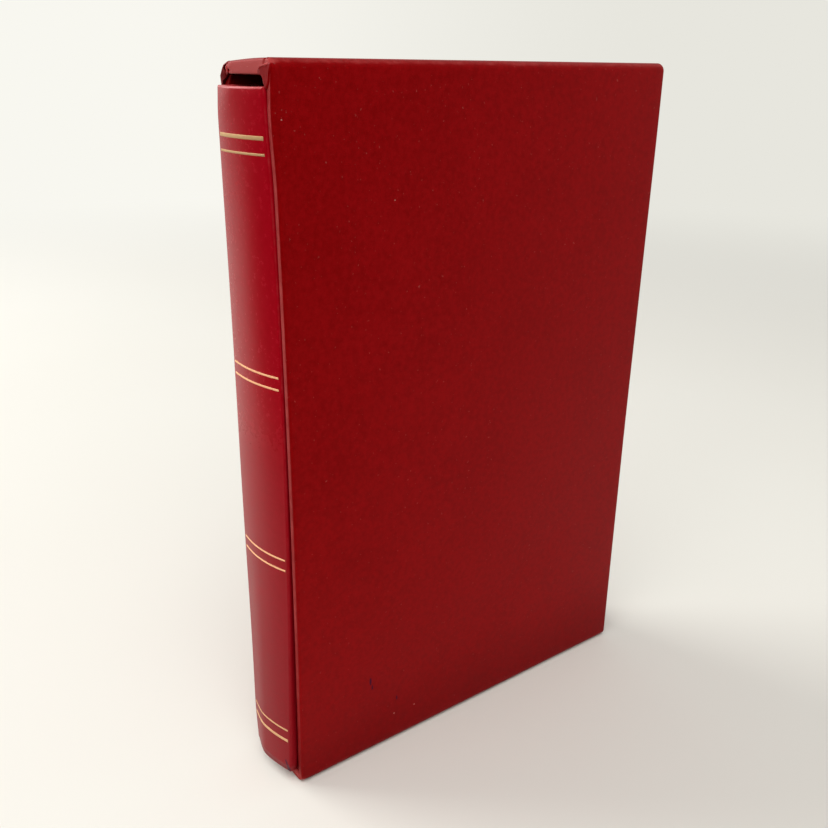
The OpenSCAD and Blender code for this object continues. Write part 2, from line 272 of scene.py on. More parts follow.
def edge_wear_group():
    """Rubbed and stretched edges, on the case partly painted highlight: the edge value of the mesh,
    broken up by noise.
    """
    tree, given, out = new_group(
        "edge_wear_and_highlight", {"Position": None, "Edge": 0.0, "Breadth": 0.5, "Patch": 300.0},
        ("Stretched", "Rubbed"))
    patches = noise(given["Position"], given["Patch"], 4.0, 0.65)
    uneven = maths("MULTIPLY_ADD", patches, 0.4, -0.2)
    worn = maths("ADD", given["Edge"], uneven)
    start = maths("SUBTRACT", 1.0, given["Breadth"])
    nicks = noise(given["Position"], maths("MULTIPLY", given["Patch"], 3.1), 2.0, 0.6)
    bare = maths("MULTIPLY", given["Edge"], ramp(nicks, 0.62, 0.72))
    feed(out, {"Stretched": ramp(worn, start, maths("ADD", start, 0.35)),
               "Rubbed": ramp(bare, 0.45, 0.95)})
    return tree


def mark_group():
    """One small soft-edged mark: an ellipsoid at Centre with half-sizes Size, in metres."""
    tree, given, out = new_group("mark", {"Position": None, "Centre": None, "Size": None},
                                 ("Mask",))
    away = vectors("SUBTRACT", given["Position"], given["Centre"])["Vector"]
    scaled = vectors("DIVIDE", away, given["Size"])["Vector"]
    far = vectors("LENGTH", scaled)["Value"]
    wobble = maths("MULTIPLY_ADD", noise(given["Position"], 2600.0), 0.5, -0.25)
    feed(out, {"Mask": ramp(maths("ADD", far, wobble), 0.7, 1.1, 1.0, 0.0)})
    return tree


def paper_fibre_group():
    """Fibres of paper and board: two crossed sets of stretched noise and scattered flecks."""
    tree, given, out = new_group("paper_fibre", {"Position": None, "Scale": 1.0},
                                 ("Height", "Tone", "Fleck"))
    spot = vectors("SCALE", given["Position"], Scale=given["Scale"])["Vector"]
    along, across = (noise(stretched(spot, way), 1.0, 4.0, 0.65, 0.6)
                     for way in ((900.0, 160.0, 900.0), (900.0, 900.0, 160.0)))
    fibres = maths("MULTIPLY", maths("ADD", along, across), 0.5)
    feed(out, {"Height": fibres, "Tone": ramp(fibres, 0.35, 0.65),
               "Fleck": ramp(noise(spot, 1500.0), 0.68, 0.74)})
    return tree


GRAIN = leather_grain_group()
EDGE_WEAR_AND_HIGHLIGHT = edge_wear_group()
MARK = mark_group()
FIBRE = paper_fibre_group()


def new_material(name):
    """A node material; gives it, its Principled shader and the object's coordinates."""
    material = bpy.data.materials.new(name)
    material.use_nodes = True
    shader = material.node_tree.nodes["Principled BSDF"]
    return material, shader, add(material.node_tree, "TexCoord").outputs["Object"]


def finish(shader, height, strength, depth, looks):
    """Feeds the shader its looks, and a height by way of a Bump node; depth in millimetres."""
    bump = step("Bump", {"Height": height, "Strength": strength, "Distance": depth * MM})
    feed(shader.inputs, {**looks, "Normal": bump[0]})


def mark_mask(position, centre, size):
    """Where a mark lies; its centre and its half-sizes are in millimetres."""
    return use_group(MARK, Position=position, Centre=[c * MM for c in centre],
                     Size=[s * MM for s in size])["Mask"]


def marked(position, colour, marks, paint):
    """Lays small marks, each a centre and half-sizes, over a colour."""
    for centre, size in marks:
        colour = blend_colour(mark_mask(position, centre, size), colour, paint)
    return colour


def leatherette(name, deep, light, stretched_tone, rubbed_tone, cell, gloss, specular, dusty,
                specks=(), ink=()):
    """Leatherette: mottled colour, pebbled grain, paler where an edge stretches or rubs it (on the
    case partly painted highlight), and darker by a painted darkening share.

    cell is the grain's size in millimetres, gloss the roughness, and dusty the share of the
    rubbed tone in rubbed grains."""
    material, shader, position = new_material(name)
    grain = use_group(GRAIN, Position=position, Cell=cell)
    edge, crease = kept_share(shader, "edge"), kept_share(shader, "crease")
    wear = use_group(EDGE_WEAR_AND_HIGHLIGHT, Position=position, Edge=edge, Breadth=0.75)
    colour = blend_colour(grain["Tone"], deep, light)
    dust = maths("MULTIPLY", grain["Dust"], dusty)
    # the darkening share is painted shade on the case and on the album's sides at the mouth; on the
    # album's front part it darkens towards the foot
    for share, tone in ((dust, rubbed_tone), (wear["Stretched"], stretched_tone),
                        (wear["Rubbed"], rubbed_tone), (crease, DARKENING_TONE)):
        colour = blend_colour(share, colour, tone)
    colour = marked(position, colour, specks, SPECK_TONE)
    colour = marked(position, colour, ink, INK_TONE)
    rough = gloss - 0.025
    for share, rise in ((grain["Tone"], 0.05), (wear["Stretched"], 0.06), (crease, 0.4)):
        rough = maths("MULTIPLY_ADD", share, rise, rough)
    finish(shader, grain["Height"], 0.5, 0.035, {
        "Base Color": colour, "Roughness": rough, "Specular IOR Level": specular,
        "Specular Tint": SHEEN_TINT})
    return material


# tones of the painted darkening (painted shade for the most part), specks and ink, and the
# sheen of the leatherette
DARKENING_TONE = (0.02, 0.0004, 0.0006, 1)
SPECK_TONE, INK_TONE = (0.45, 0.20, 0.17, 1), (0.03, 0.001, 0.022, 1)
SHEEN_TINT = (1.0, 0.05, 0.08, 1)

# marks, as centre and half-sizes in millimetres: pale specks and ink strokes on the case's near
# side, ink at the spine's foot, and a stretch of a rule where the foil has come off
CASE_SPECKS = [((18.0, -79.1, 243.2), (4.0, 0.34, 0.28)), ((18.0, -39.4, 217.7), (4.0, 0.3, 0.24)),
               ((16.5, -38.6, 13.2), (4.0, 0.4, 0.3)), ((16.5, -28.5, 12.9), (4.0, 0.35, 0.3))]
CASE_INK = [((16.5, -50.2, 34.2), (4.0, 0.45, 1.9)), ((16.5, -49.4, 31.0), (4.0, 0.35, 1.3)),
            ((16.5, -37.3, 20.4), (4.0, 0.35, 1.2))]
SPINE_INK = [((10.6, -84.5, 9.6), (0.34, 3.0, 0.9)), ((11.0, -84.5, 8.6), (0.4, 3.0, 1.0)),
             ((11.5, -84.5, 7.5), (0.48, 3.0, 1.1)), ((12.0, -84.5, 6.3), (0.6, 3.0, 1.2))]
GILT_CHIP = ((6.2, -86.0, 14.75), (3.5, 4.0, 0.3))

case_red = leatherette("case_leatherette", (0.206, 0.0004, 0.0008, 1), (0.276, 0.0016, 0.0026, 1),
                       (0.43, 0.05, 0.046, 1), (0.54, 0.19, 0.16, 1), cell=0.42, gloss=0.45,
                       specular=0.14, dusty=0.2, specks=CASE_SPECKS, ink=CASE_INK)
album_red = leatherette("album_leatherette", (0.352, 0.0006, 0.0062, 1), (0.408, 0.0014, 0.01, 1),
                        (0.44, 0.035, 0.04, 1), (0.50, 0.20, 0.17, 1), cell=0.3, gloss=0.26,
                        specular=0.42, dusty=0.08, ink=SPINE_INK)


def gilt():
    """Hot-pressed gold foil: slightly uneven gloss, worn through to the red in small chips."""
    material, shader, position = new_material("gilt_foil")
    tone = noise(position, 700.0, 3.0, 0.6)
    chipped = ramp(noise(position, 1300.0, 3.0, 0.7), 0.66, 0.7)
    bare = maths("MULTIPLY", maths("MAXIMUM", chipped, mark_mask(position, *GILT_CHIP)), 0.8)
    colour = blend_colour(tone, (0.90, 0.52, 0.29, 1), (1.0, 0.68, 0.42, 1))
    # painted duller where the mesh keeps a share for it: painted shade at the head's rules
    colour = blend_colour(kept_share(shader, "dull"), colour, (0.50, 0.34, 0.17, 1))
    finish(shader, tone, 0.4, 0.01, {
        "Base Color": blend_colour(bare, colour, (0.33, 0.02, 0.02, 1)),
        "Metallic": maths("SUBTRACT", 1.0, bare),
        "Roughness": ramp(tone, 0.3, 0.7, 0.68, 0.8)})
    return material


def board(name, dark, light, fleck, rough, depth, scale=1.0):
    """Board or paper: fibrous colour, a few flecks and a fibrous surface."""
    material, shader, position = new_material(name)
    fibre = use_group(FIBRE, Position=position, Scale=scale)
    colour = blend_colour(fibre["Tone"], dark, light)
    finish(shader, fibre["Height"], 0.5, depth, {
        "Base Color": blend_colour(fibre["Fleck"], colour, fleck),
        "Roughness": ramp(fibre["Tone"], 0.0, 1.0, rough - 0.06, rough + 0.06),
        "Specular IOR Level": 0.3})
    return material


def linen_cloth():
    """Book linen: threads over and under, as the product of two sets of fine waves."""
    material, shader, position = new_material("linen")
    x, y, z = step("SeparateXYZ", {0: position})
    warp, weft = (maths("SINE", maths("MULTIPLY", way, 9000.0)) for way in (z, maths("ADD", x, y)))
    slub = noise(position, 800.0, 3.0)
    tone = maths("MULTIPLY_ADD", maths("MULTIPLY", warp, weft), 0.25, slub)
    finish(shader, tone, 0.6, 0.05, {
        "Base Color": blend_colour(tone, (0.02, 0.018, 0.018, 1), (0.06, 0.055, 0.05, 1)),
        "Roughness": ramp(tone, 0.2, 0.8, 0.8, 0.95)})
    return material


def thin_sheet(name, tint, alpha, rough, ripple_scale):
    """Clear film or glassine: a pale see-through sheet with a faint uneven gloss."""
    material, shader, position = new_material(name)
    uneven = noise(stretched(position, (1.0, 1.0, 0.25)), ripple_scale, 3.0, 0.6)
    deeper = tuple(0.9 * c for c in tint[:3]) + (1,)
    finish(shader, uneven, 0.3, 0.02, {
        "Base Color": blend_colour(uneven, tint, deeper),
        "Roughness": ramp(uneven, 0.3, 0.7, rough - 0.04, rough + 0.06),
        "Alpha": ramp(uneven, 0.3, 0.7, alpha - 0.04, alpha + 0.04)})
    return material


gilt_foil = gilt()
greyboard = board("greyboard", (0.20, 0.185, 0.16, 1), (0.33, 0.31, 0.27, 1),
                  (0.10, 0.09, 0.08, 1), rough=0.85, depth=0.06)
lining_paper = board("lining_paper", (0.045, 0.004, 0.006, 1), (0.075, 0.008, 0.011, 1),
                     (0.11, 0.02, 0.02, 1), rough=0.75, depth=0.02, scale=1.6)
endpaper = board("endpaper", (0.70, 0.66, 0.57, 1), (0.80, 0.77, 0.68, 1),
                 (0.62, 0.56, 0.46, 1), rough=0.8, depth=0.015, scale=1.8)
stock_card = board("stock_card", (0.009, 0.009, 0.010, 1), (0.022, 0.021, 0.022, 1),
                   (0.05, 0.05, 0.05, 1), rough=0.68, depth=0.02, scale=1.8)
linen = linen_cloth()
glassine = thin_sheet("glassine", (0.82, 0.82, 0.78, 1), alpha=0.7, rough=0.42, ripple_scale=260.0)
clear_film = thin_sheet("clear_film", (0.84, 0.87, 0.9, 1), alpha=0.3, rough=0.14, ripple_scale=180.0)

# ---- camera -----------------------------------------------------------------

CAMERA_MM = (257.1, -209.5, 258.5)
AZIMUTH, PITCH, ROLL = math.radians(36.62), math.radians(21.27), math.radians(0.69)
FOCAL_PX, IMAGE_PX, SENSOR_MM = 897.8, 828.0, 36.0


def add_camera():
    """A level camera turned by the azimuth, tipped down by the pitch and then rolled."""
    forward = Vector((-math.cos(AZIMUTH) * math.cos(PITCH), math.sin(AZIMUTH) * math.cos(PITCH),
                      -math.sin(PITCH)))
    level = Vector((math.sin(AZIMUTH), math.cos(AZIMUTH), 0.0))
    up = level.cross(forward)
    right = level * math.cos(ROLL) + up * math.sin(ROLL)
    above = up * math.cos(ROLL) - level * math.sin(ROLL)
    camera = bpy.data.objects.new("camera", bpy.data.cameras.new("camera"))
    camera.data.lens = FOCAL_PX / IMAGE_PX * SENSOR_MM
    camera.data.sensor_width = SENSOR_MM
    camera.data.clip_start = 0.01
    turn = Matrix((right, above, -forward)).transposed().to_4x4()
    camera.matrix_world = Matrix.Translation(Vector(CAMERA_MM) * MM) @ turn
    scene.collection.objects.link(camera)
    scene.camera = camera


add_camera()
scene.view_settings.view_transform = "Standard"

# ---- slipcase ---------------------------------------------------------------


def bow(y, z):
    """Outward bow of a side wall: a wide circle over the height that leans in towards the back.

    The plain height above the wall's flat is eased to nothing by (h + sqrt(h^2 + c^2)) / 2."""
    sag = BOW_R - np.sqrt(BOW_R ** 2 - (z - CASE_H / 2) ** 2)
    plain = BOW - sag - BOW * (y - MOUTH_Y) / BOW_LENGTH
    return (plain + np.sqrt(plain ** 2 + 0.01)) / 2


def case_settled(x, y, z):
    """What use has done to the case: the bowed sides, a low far mouth corner, loose corners.

    Points below the head's inner face stay, and the drop grows to full at its outer face.
    Gives points, whatever shapes x, y and z have together."""
    side = np.sign(x) * smooth((np.abs(x) - 9.0) / 3.0)
    outer = smooth((np.abs(x) - 14.6) / 1.2)
    deep = y - MOUTH_Y
    bowed = x + side * bow(y, z) * smooth((z - 3.0) / 3.0) * smooth((CASE_H - 3.0 - z) / 3.0)
    wavy = 0.05 + 0.05 * ripple(3, y, z, wavelengths=(45.0, 120.0))
    bowed = bowed + side * wavy * smooth((deep - 3.0) / 20.0) * outer
    loose = (2.4 * bell((z - 253.9) / 3.0) + 0.8 * bell((z - 259.6) / 1.2)) * bell(
        deep / 6.5) * (x < 0)
    snug = 0.45 * bell((z - 257.2) / 1.6) * bell(deep / 2.5) * (x > 0)
    pinch = bell((z - 243.0) / 12.0) * bell(deep / 12.0) * (side > 0.5)
    bowed = bowed + side * (loose + snug) * outer - 0.35 * pinch
    low = 1.05 * np.clip((10.0 - x) / 23.0, 0.0, 1.3) ** 1.5 * bell(deep / 35.0)
    dropped = z - low * np.clip((z - CASE_H + HEAD_WALL) / HEAD_WALL, 0.0, 1.0)
    blunt = bell((np.abs(x) - 16.0) / 2.4) * bell(z / 2.4) * bell(deep / 2.4)
    full = (0.55 + 1.2 * smooth((z - 100.0) / 150.0)) * smooth((y - 50.0) / 35.0)
    crumpled = 1.8 * bell((z - 255.8) / 3.6) * bell(deep / 3.0) * (x < -12.95) * smooth(
        (x + 15.9) / 2.4)
    forth = y - 0.5 * pinch + 0.35 * blunt + full + crumpled
    return np.stack([bowed - 0.3 * side * blunt, forth, dropped + 0.3 * blunt], axis=-1)


# steps of the ring along a side, round a corner and across a head
SIDE_STEPS, CORNER_STEPS, HEAD_STEPS = 72, 10, 12


def joined(*stretches):
    """Stretches of an outline joined end to end; each is a tuple of numbers or arrays."""
    return np.concatenate([np.stack(np.broadcast_arrays(*part)) for part in stretches], axis=-1)


def ring_numbers(sides=SIDE_STEPS, corners=CORNER_STEPS, heads=HEAD_STEPS):
    """A rounded rectangle as numbers for each point, from the right wall's foot, turning left.

    Each point is the corner of a smaller rectangle, at fractions (across, upright) of its
    half-sizes, plus the corner radius in the direction of the angle; the fourth number is the
    share of the corner turned. The ring's second half is its first, turned half round."""
    ease = np.linspace(-1.0, 1.0, sides, endpoint=False)
    ease = np.sin(ease * math.pi / 2) * 0.35 + ease * 0.65
    level = np.linspace(-1.0, 1.0, heads, endpoint=False)
    share = np.linspace(0.0, 1.0, corners, endpoint=False)
    turn = share * math.pi / 2
    half = joined((1.0, ease, 0.0, 0.0), (1.0, 1.0, turn, share),
                  (-level, 1.0, math.pi / 2, 0.0), (-1.0, 1.0, turn + math.pi / 2, share))
    turned = half * [[-1], [-1], [1], [1]] + [[0], [0], [math.pi], [0]]
    return np.concatenate([half, turned], axis=1)


def mouth_profile():
    """The case's skin from the turn-in's end, round the mouth, along the wall to the back.

    Gives, row by row, y, how far it is set in from the outer side and head faces, the corner
    radius, how much of a mouth edge it is, and how far it has turned in at the back."""
    turn = np.linspace(0.0, math.pi / 2, 6)
    inner_r, outer_r = 0.5, 0.8
    inside = np.linspace(MOUTH_Y + TURN_IN, MOUTH_Y + inner_r, 9, endpoint=False)
    rim = np.linspace(0.0, 1.0, 6)[1:-1]
    along = np.linspace(0.0, 1.0, 56)[1:] ** 1.25
    along = MOUTH_Y + outer_r + (BACK_Y - BACK_R - MOUTH_Y - outer_r) * along
    back_turn = np.linspace(0.0, math.pi / 2, 10)[1:]
    closing = np.linspace(0.0, 1.0, 8)[1:] ** 1.3
    y, inward, extra, back, mouth = joined(
        (inside, 1.0, 0.0, 0.0, 0.0),
        (MOUTH_Y + inner_r * (1 - np.sin(turn)), 1.0, -inner_r * (1 - np.cos(turn)), 0.0,
         np.sin(turn)),
        (MOUTH_Y, 1.0 - rim, -inner_r * (1 - rim) + outer_r * rim, 0.0, 1.0),
        (MOUTH_Y + outer_r * (1 - np.cos(turn)), 0.0, outer_r * (1 - np.sin(turn)), 0.0,
         1.0 - smooth(turn / 0.7)),
        (along, 0.0, 0.0, 0.0, 0.0),
        (BACK_Y - BACK_R * (1 - np.sin(back_turn)), 0.0, 0.0, BACK_R * (1 - np.cos(back_turn)),
         0.0),
        (BACK_Y, 0.0, 0.0, BACK_R + (CASE_HALF - 0.0004 - BACK_R) * closing, 0.0))
    side_in = inward * SIDE_WALL + extra + back
    head_in = inward * HEAD_WALL + extra + back
    radius = np.where(inward > 0, EDGE_R + (0.3 - EDGE_R) * inward, EDGE_R - extra - back)
    return y, side_in, head_in, np.maximum(radius, 0.02), mouth, back


def case_surface():
    """Every point of the case's skin: rows along the profile, columns round the ring.

    The edge share is greatest at the mouth, less at the back and along the turned corners; the
    side walls' rims are spared, the near one less than the far one. Its paler tone is partly
    stretched and rubbed wear and partly painted highlight: on the rounded long edges, on the
    mouth's rims, more towards the top of the near rim, and in broken dashes along its outer corner."""
    across, upright, angle, corner = ring_numbers()
    y, side_in, head_in, radius, mouth, back = (v[:, None] for v in mouth_profile())
    x = across * (CASE_HALF - side_in - radius) + radius * np.cos(angle)
    z = CASE_H / 2 + upright * (CASE_H / 2 - head_in - radius) + radius * np.sin(angle)
    turned = np.sin(math.pi * corner) ** 2 * (angle > 0)
    rounded = np.sin(math.pi * np.clip(back / BACK_R, 0.0, 1.0)) * (back < BACK_R)
    flat_outside = (back < BACK_R) & (side_in < SIDE_WALL)
    deep = y - MOUTH_Y
    edge = np.maximum(mouth, 0.55 * rounded)
    edge = np.maximum(edge, 0.9 * rounded * turned)
    edge = np.maximum(edge, (0.36 + 0.45 * bell(deep / 1.6)) * turned * flat_outside)
    wall = smooth((np.abs(x) - 12.6) / 1.2) * smooth((CASE_H / 2 - 2.0 - np.abs(
        z - CASE_H / 2)) / 3.0) * (deep < 2.0)
    upper = smooth((z - 90.0) / 90.0)
    spared = np.where(side_in > 0.55, 0.65 - 0.1 * upper, 0.25 - 0.05 * upper)
    edge = edge * (1.0 - wall * np.where(x > 0, spared, 0.9))
    scuffed = bell((np.abs(x) - CASE_HALF) / 2.6) * bell(z / 2.6) * bell(deep / 2.6)
    return x, y, z, np.maximum(edge, scuffed)


# the case's edge share: paler edges, partly stretched and rubbed wear and partly painted highlight
x, y, z, case_wear_and_highlight = case_surface()
# painted shade: darker in the far top corner's split, over the lowest 42 mm towards the floor, and on
# the rims' inner corners beside the album below about 175 mm
case_crease = 0.6 * (x < -12.9) * bell((z - 255.0) / 4.0) * bell((y - MOUTH_Y) / 3.5)
case_crease = np.maximum(case_crease, 0.26 * smooth((42.0 - z) / 42.0))
case_crease = np.maximum(case_crease, 0.6 * smooth((175.0 - z) / 60.0) * smooth(z / 8.0) * (
    np.abs(x) < 13.5) * (np.abs(x) > 12.9) * bell((y - MOUTH_Y) / 3.0))
case_points = case_settled(x, y, z)
ROWS, COLUMNS = case_points.shape[:2]
back_inset = mouth_profile()[5]
field_rows = (back_inset[:-1] <= 0) & (back_inset[1:] <= 0)


def flat_columns(first):
    """True for the ring's columns of a head's flat that starts at the column first."""
    column = np.arange(COLUMNS)
    return (column >= first) & (column < first + HEAD_STEPS)


head_quads = field_rows[:, None] & flat_columns(SIDE_STEPS + CORNER_STEPS)
tail_quads = field_rows[:, None] & flat_columns(SIDE_STEPS + CORNER_STEPS + COLUMNS // 2)


def skin_piece(name, quads, drop, stands_for, thickness):
    """One sheet of the case's covering: its share of the surface, let down by drop.

    It gets its thickness inwards from that surface."""
    faces = [f[::-1] for f in grid_faces(ROWS, COLUMNS, close=True, keep=quads)]
    points, faces, edge, crease = used_only(case_points.reshape(-1, 3), faces, case_wear_and_highlight,
                                            case_crease)
    above = points[:, 2] - CASE_H / 2
    points[:, 2] -= np.sign(above) * drop * (np.abs(above) > CASE_H / 2 - 2.0)
    piece = make_piece(name, points, faces, "slipcase", "case_leatherette", case_red,
                       stands_for, edge=edge, crease=crease)
    weld = piece.modifiers.new("weld", "WELD")
    weld.merge_threshold = 0.01 * MM
    solid = piece.modifiers.new("thickness", "SOLIDIFY")
    solid.thickness = thickness * MM
    solid.offset = -1.0
    solid.use_even_offset = False


skin_piece("case_side_skin", ~(head_quads | tail_quads), 0.0, ("case_side_covering",), 0.3)
skin_piece("case_head_skin", head_quads, 0.12, ("case_head_covering",), 0.25)
skin_piece("case_tail_skin", tail_quads, 0.12, ("case_tail_covering",), 0.25)


def mouth_flap(name, side, reach, drop, lift):
    """A folded corner of the covering at the mouth's foot: a thin three-cornered cushion.

    It fans out from the case's outer corner, stands lift proud and falls off within 0.5 mm of
    its rim. side is 1 for the near wall and -1 for the far one. Its edge share is stretched
    wear, with a painted highlight along the side from the outer corner."""
    outer = np.array([CASE_HALF - 0.7, CASE_H - 1.5])
    far = np.array([CASE_HALF - reach, CASE_H - drop])
    inner = np.array([CASE_HALF - SIDE_WALL + 0.35, CASE_H - HEAD_WALL + 0.35])
    p, q = np.meshgrid(np.linspace(0.02, 1.0, 12), np.linspace(0.0, 1.0, 12), indexing="ij")
    bulge = 0.5 * np.sin(math.pi * q) * p
    flat = (outer + p[..., None] * ((1 - q)[..., None] * (far - outer)
                                    + q[..., None] * (inner - outer)))
    flat = flat + bulge[..., None] * np.array([0.35, -0.35]) * (p[..., None] - 0.2)
    rim = np.minimum(np.minimum(q, 1 - q) * np.linalg.norm(far - inner) * p, (1 - p) * 5.0)
    front = MOUTH_Y - lift * smooth(rim / 0.45) * smooth(p * 4.0) + 0.02
    x, z = flat[..., 0] * side, CASE_H - flat[..., 1]
    points, back = case_settled(x, front, z), case_settled(x, MOUTH_Y + 0.25, z)
    quads, count = grid_faces(*p.shape), p.size
    index = np.arange(count).reshape(p.shape)
    loop = np.concatenate([index[0, :-1], index[:-1, -1], index[-1, :0:-1], index[:0:-1, 0]])
    ahead = np.roll(loop, -1)
    walls = np.stack([loop, ahead, ahead + count, loop + count], axis=1).tolist()
    faces = quads + walls + [[v + count for v in face[::-1]] for face in quads]
    if side > 0:
        faces = [f[::-1] for f in faces]
    # stretched wear, with a painted highlight along the flap's fold
    edge = np.concatenate([0.5 + 0.7 * bell((q - 0.05) / 0.1).ravel(), np.zeros(count)])
    make_piece(name, np.concatenate([points.reshape(-1, 3), back.reshape(-1, 3)]), faces,
               "slipcase", "case_leatherette", case_red, edge=edge, crease=0 * edge)


mouth_flap("corner_fold_tail_near", 1, reach=5.4, drop=2.6, lift=0.26)
mouth_flap("corner_fold_tail_far", -1, reach=5.5, drop=2.5, lift=0.26)


def folded_corner(name, heart, outline, lift, deep):
    """A top corner of the mouth, where the covering is folded over and glued down.

    A cushion round a heart point, within a line through the outline's points (x, z). It stands
    lift proud, slopes down towards the wall and falls off within 0.5 mm of its rim; the
    outline's first stretch is its fold line and carries a ridge, paler with a painted highlight
    over stretched wear."""
    outline = np.array(outline + outline[:1])
    run = np.arange(len(outline))
    fine = np.linspace(0, len(outline) - 1, 10 * (len(outline) - 1) + 1)[:-1]
    ring = np.stack([np.interp(fine, run, outline[:, 0]), np.interp(fine, run, outline[:, 1])])
    ring = sum(np.roll(ring, k, axis=1) * w for k, w in
               zip((-4, -2, 0, 2, 4), (0.12, 0.23, 0.3, 0.23, 0.12)))
    p = np.linspace(0.0, 1.0, 14)[1:, None]
    x = heart[0] + p * (ring[0] - heart[0])
    z = heart[1] + p * (ring[1] - heart[1])
    to_rim = (1.0 - p) * np.hypot(ring[0] - heart[0], ring[1] - heart[1])
    fold = smooth((fine - 0.2) / 0.5) * smooth((3.2 - fine) / 0.6)
    ridge = fold * bell((to_rim - 0.45) / 0.35)
    inmost = ring[0].min() if heart[0] > 0 else ring[0].max()
    away = np.clip(np.abs(x - inmost) / 6.5, 0.0, 1.0)
    height = lift * smooth(to_rim / 0.5) * (1.0 - 0.8 * away) + 0.2 * ridge
    front = case_settled(x, MOUTH_Y + 0.02 - height, z)
    back = case_settled(x, MOUTH_Y + deep, z)
    # stretched wear, with a painted highlight along the ridge
    wear = np.concatenate([0.2 + 0.7 * ridge, 0 * ridge])
    swept_piece(name, np.concatenate([front, back[::-1]]), "slipcase", "case_leatherette",
                case_red, edge=wear, crease=0 * wear)


def split_shade(name, path):
    """Painted shade in a split of the covering: a thin dark bar along a path of (x, z, half-width).
    """
    path = np.array(path)
    fine = np.linspace(0, len(path) - 1, 8 * (len(path) - 1) + 1)
    x, z, half = (np.interp(fine, np.arange(len(path)), path[:, k])[:, None] for k in range(3))
    loop = np.array([(-1, -0.25), (1, -0.25), (1, 0.3), (-1, 0.3)])
    points = case_settled(x + half * loop[:, 0], MOUTH_Y + loop[:, 1], z)
    swept_piece(name, points, "slipcase", "", split_shadow)


def split_shade_material():
    """Painted shade for the depth of a split: almost black red, without gloss."""
    material, shader, position = new_material("split_shadow")
    feed(shader.inputs, {
        "Base Color": blend_colour(noise(position, 900.0),
                                   (0.008, 0.0006, 0.0006, 1), (0.03, 0.001, 0.0014, 1)),
        "Roughness": 1.0, "Specular IOR Level": 0.0})
    return material


split_shadow = split_shade_material()
# painted shade: a dark bar where the far top corner's covering has split
split_shade("corner_split_shade", [(-14.1, 258.9, 0.1), (-14.3, 258.3, 0.5), (-14.6, 257.4, 0.5),
                            (-14.4, 256.4, 0.28), (-13.9, 255.4, 0.25), (-14.3, 254.2, 0.3),
                            (-14.8, 253.2, 0.3), (-14.9, 252.2, 0.2)])
folded_corner("corner_fold_head_near", (13.9, 256.6),
              [(15.9, 258.7), (13.1, 258.5), (10.2, 257.5), (9.0, 256.5), (8.9, 255.5),
               (11.2, 254.9), (12.0, 253.9), (12.3, 252.6), (13.5, 250.9), (14.9, 252.6),
               (15.6, 256.6)], lift=1.25, deep=1.4)
folded_corner("corner_fold_head_far", (-14.0, 257.0),
              [(-15.2, 258.9), (-13.2, 259.0), (-12.4, 257.6), (-11.4, 255.4), (-12.9, 255.0),
               (-14.0, 253.6), (-14.9, 254.6), (-15.3, 257.0)], lift=0.16, deep=0.6)


def case_board(name, low, high, radius, steps):
    """A board of the case: rows of a rounded rectangle in X and Z swept along Y, settled with
    the skin so that it stays inside it, and closed at both ends."""
    (x0, z0), (x1, z1) = low, high
    across, upright, angle, _ = ring_numbers(*steps)
    x = (x0 + x1) / 2 + across * ((x1 - x0) / 2 - radius) + radius * np.cos(angle)
    z = (z0 + z1) / 2 + upright * ((z1 - z0) / 2 - radius) + radius * np.sin(angle)
    roof = CASE_H - EDGE_R + np.sqrt(np.maximum((EDGE_R - COVERING) ** 2 - np.maximum(
        np.abs(x) - CASE_HALF + EDGE_R, 0.0) ** 2, 0.0))
    z = np.clip(z, CASE_H - roof, roof)
    y = np.linspace(MOUTH_Y + COVERING, BACK_Y - COVERING - 0.8, 34)[:, None]
    y = y + 4.0 * bell((z - 257.0) / 5.0) * (x < -13.0) * bell((y - MOUTH_Y) / 5.0)
    swept_piece(name, case_settled(x, y, z), "slipcase", "greyboard", greyboard, ("case_" + name,))


INSIDE = CASE_HALF - COVERING
FLAP_HALF = INSIDE - BOARD
case_board("head_inner_flap", (-FLAP_HALF, CASE_H - COVERING - 2 * BOARD),
           (FLAP_HALF, CASE_H - COVERING - BOARD), 0.15, (2, 4, 10))
case_board("head_outer_flap", (-FLAP_HALF, CASE_H - COVERING - BOARD),
           (FLAP_HALF, CASE_H - COVERING), 0.15, (2, 4, 10))
case_board("left_board", (-INSIDE, COVERING), (-FLAP_HALF, CASE_H - COVERING), 0.9, (50, 5, 2))

# ---- album ------------------------------------------------------------------


def spine_arc(x, proud, radius, shift):
    """y of the rounded spine at x: a circle whose crown stands proud of the mouth, at x shift."""
    return MOUTH_Y - proud + radius - np.sqrt(radius ** 2 - (x - shift) ** 2)


